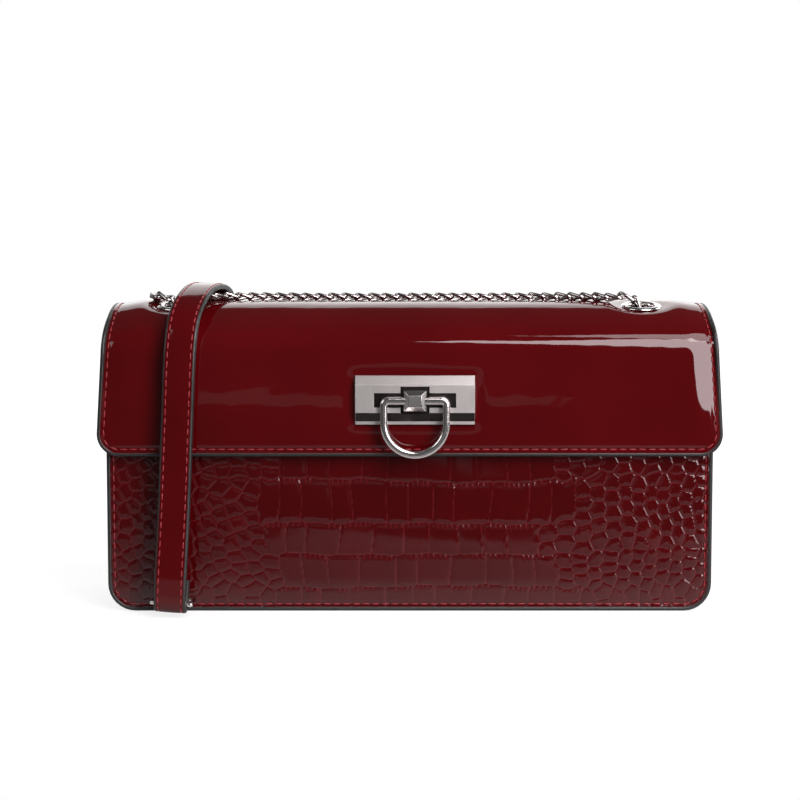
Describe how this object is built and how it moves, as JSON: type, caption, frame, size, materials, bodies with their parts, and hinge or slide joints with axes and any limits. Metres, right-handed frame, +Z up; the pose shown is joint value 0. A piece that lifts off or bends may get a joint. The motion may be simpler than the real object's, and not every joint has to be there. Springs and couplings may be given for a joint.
{
  "type": "clutch purse",
  "caption": "Hard-sided east-west clutch with a full-width flap, a drop-ring lock, eyelets in the top and a chain and leather shoulder strap.",
  "frame": {"origin": "centre of the body's underside, on the surface that it stands on", "axes": "+Z up, -Y is the front with the lock, +X the right hand of someone who faces the front"},
  "size_m": [0.27, 0.0799, 0.1418],
  "materials": {
    "patent_leather": "glossy patent, dark wine red",
    "embossed_leather": "glossy, reptile embossing, dark wine red",
    "strap_leather": "semi-gloss, dark wine red with black edges",
    "stiffener": "plain board",
    "lining": "fine woven cloth, dark wine red",
    "polished_nickel": "polished nickel",
    "chain_metal": "polished dark nickel",
    "plain_steel": "plain steel",
    "magnet": "nickel-plated magnet"
  },
  "bodies": {
    "case": {"back_panel": "patent_leather", "gusset_left": "patent_leather", "gusset_right": "patent_leather", "gusset_base": "patent_leather", "front_panel": "embossed_leather", "front_board": "stiffener", "back_board": "stiffener", "base_board": "stiffener", "front_lining": "lining", "back_lining": "lining", "gusset_lining": "lining", "slip_pocket": "lining", "body_magnet": "magnet"},
    "flap": {"flap_leather": "patent_leather", "flap_board": "stiffener", "flap_lining": "lining", "flap_magnet": "magnet", "lock_plate": "polished_nickel", "lock_stud": "polished_nickel", "lock_backing_plate": "plain_steel", "lock_screws": "plain_steel", "eyelet_left": "polished_nickel", "eyelet_right": "polished_nickel", "eyelet_washer_left": "polished_nickel", "eyelet_washer_right": "polished_nickel", "chain_right_run": "chain_metal", "chain_left_run": "chain_metal", "chain_inner_run": "chain_metal", "strap_leather": "strap_leather", "strap_ring_upper": "polished_nickel", "strap_ring_lower": "polished_nickel"},
    "ring": {"d_ring": "polished_nickel"}
  },
  "joints": [
    {"name": "flap_hinge", "type": "hinge", "parent": "case", "child": "flap", "pos_m": [0, 0.0308, 0.12155], "axis": [-1, 0, 0], "range_deg": [0, 180]},
    {"name": "ring_swing", "type": "hinge", "parent": "flap", "child": "ring", "pos_m": [0.0022, -0.041, 0.0926], "axis": [-1, 0, 0], "range_deg": [0, 175]}
  ]
}
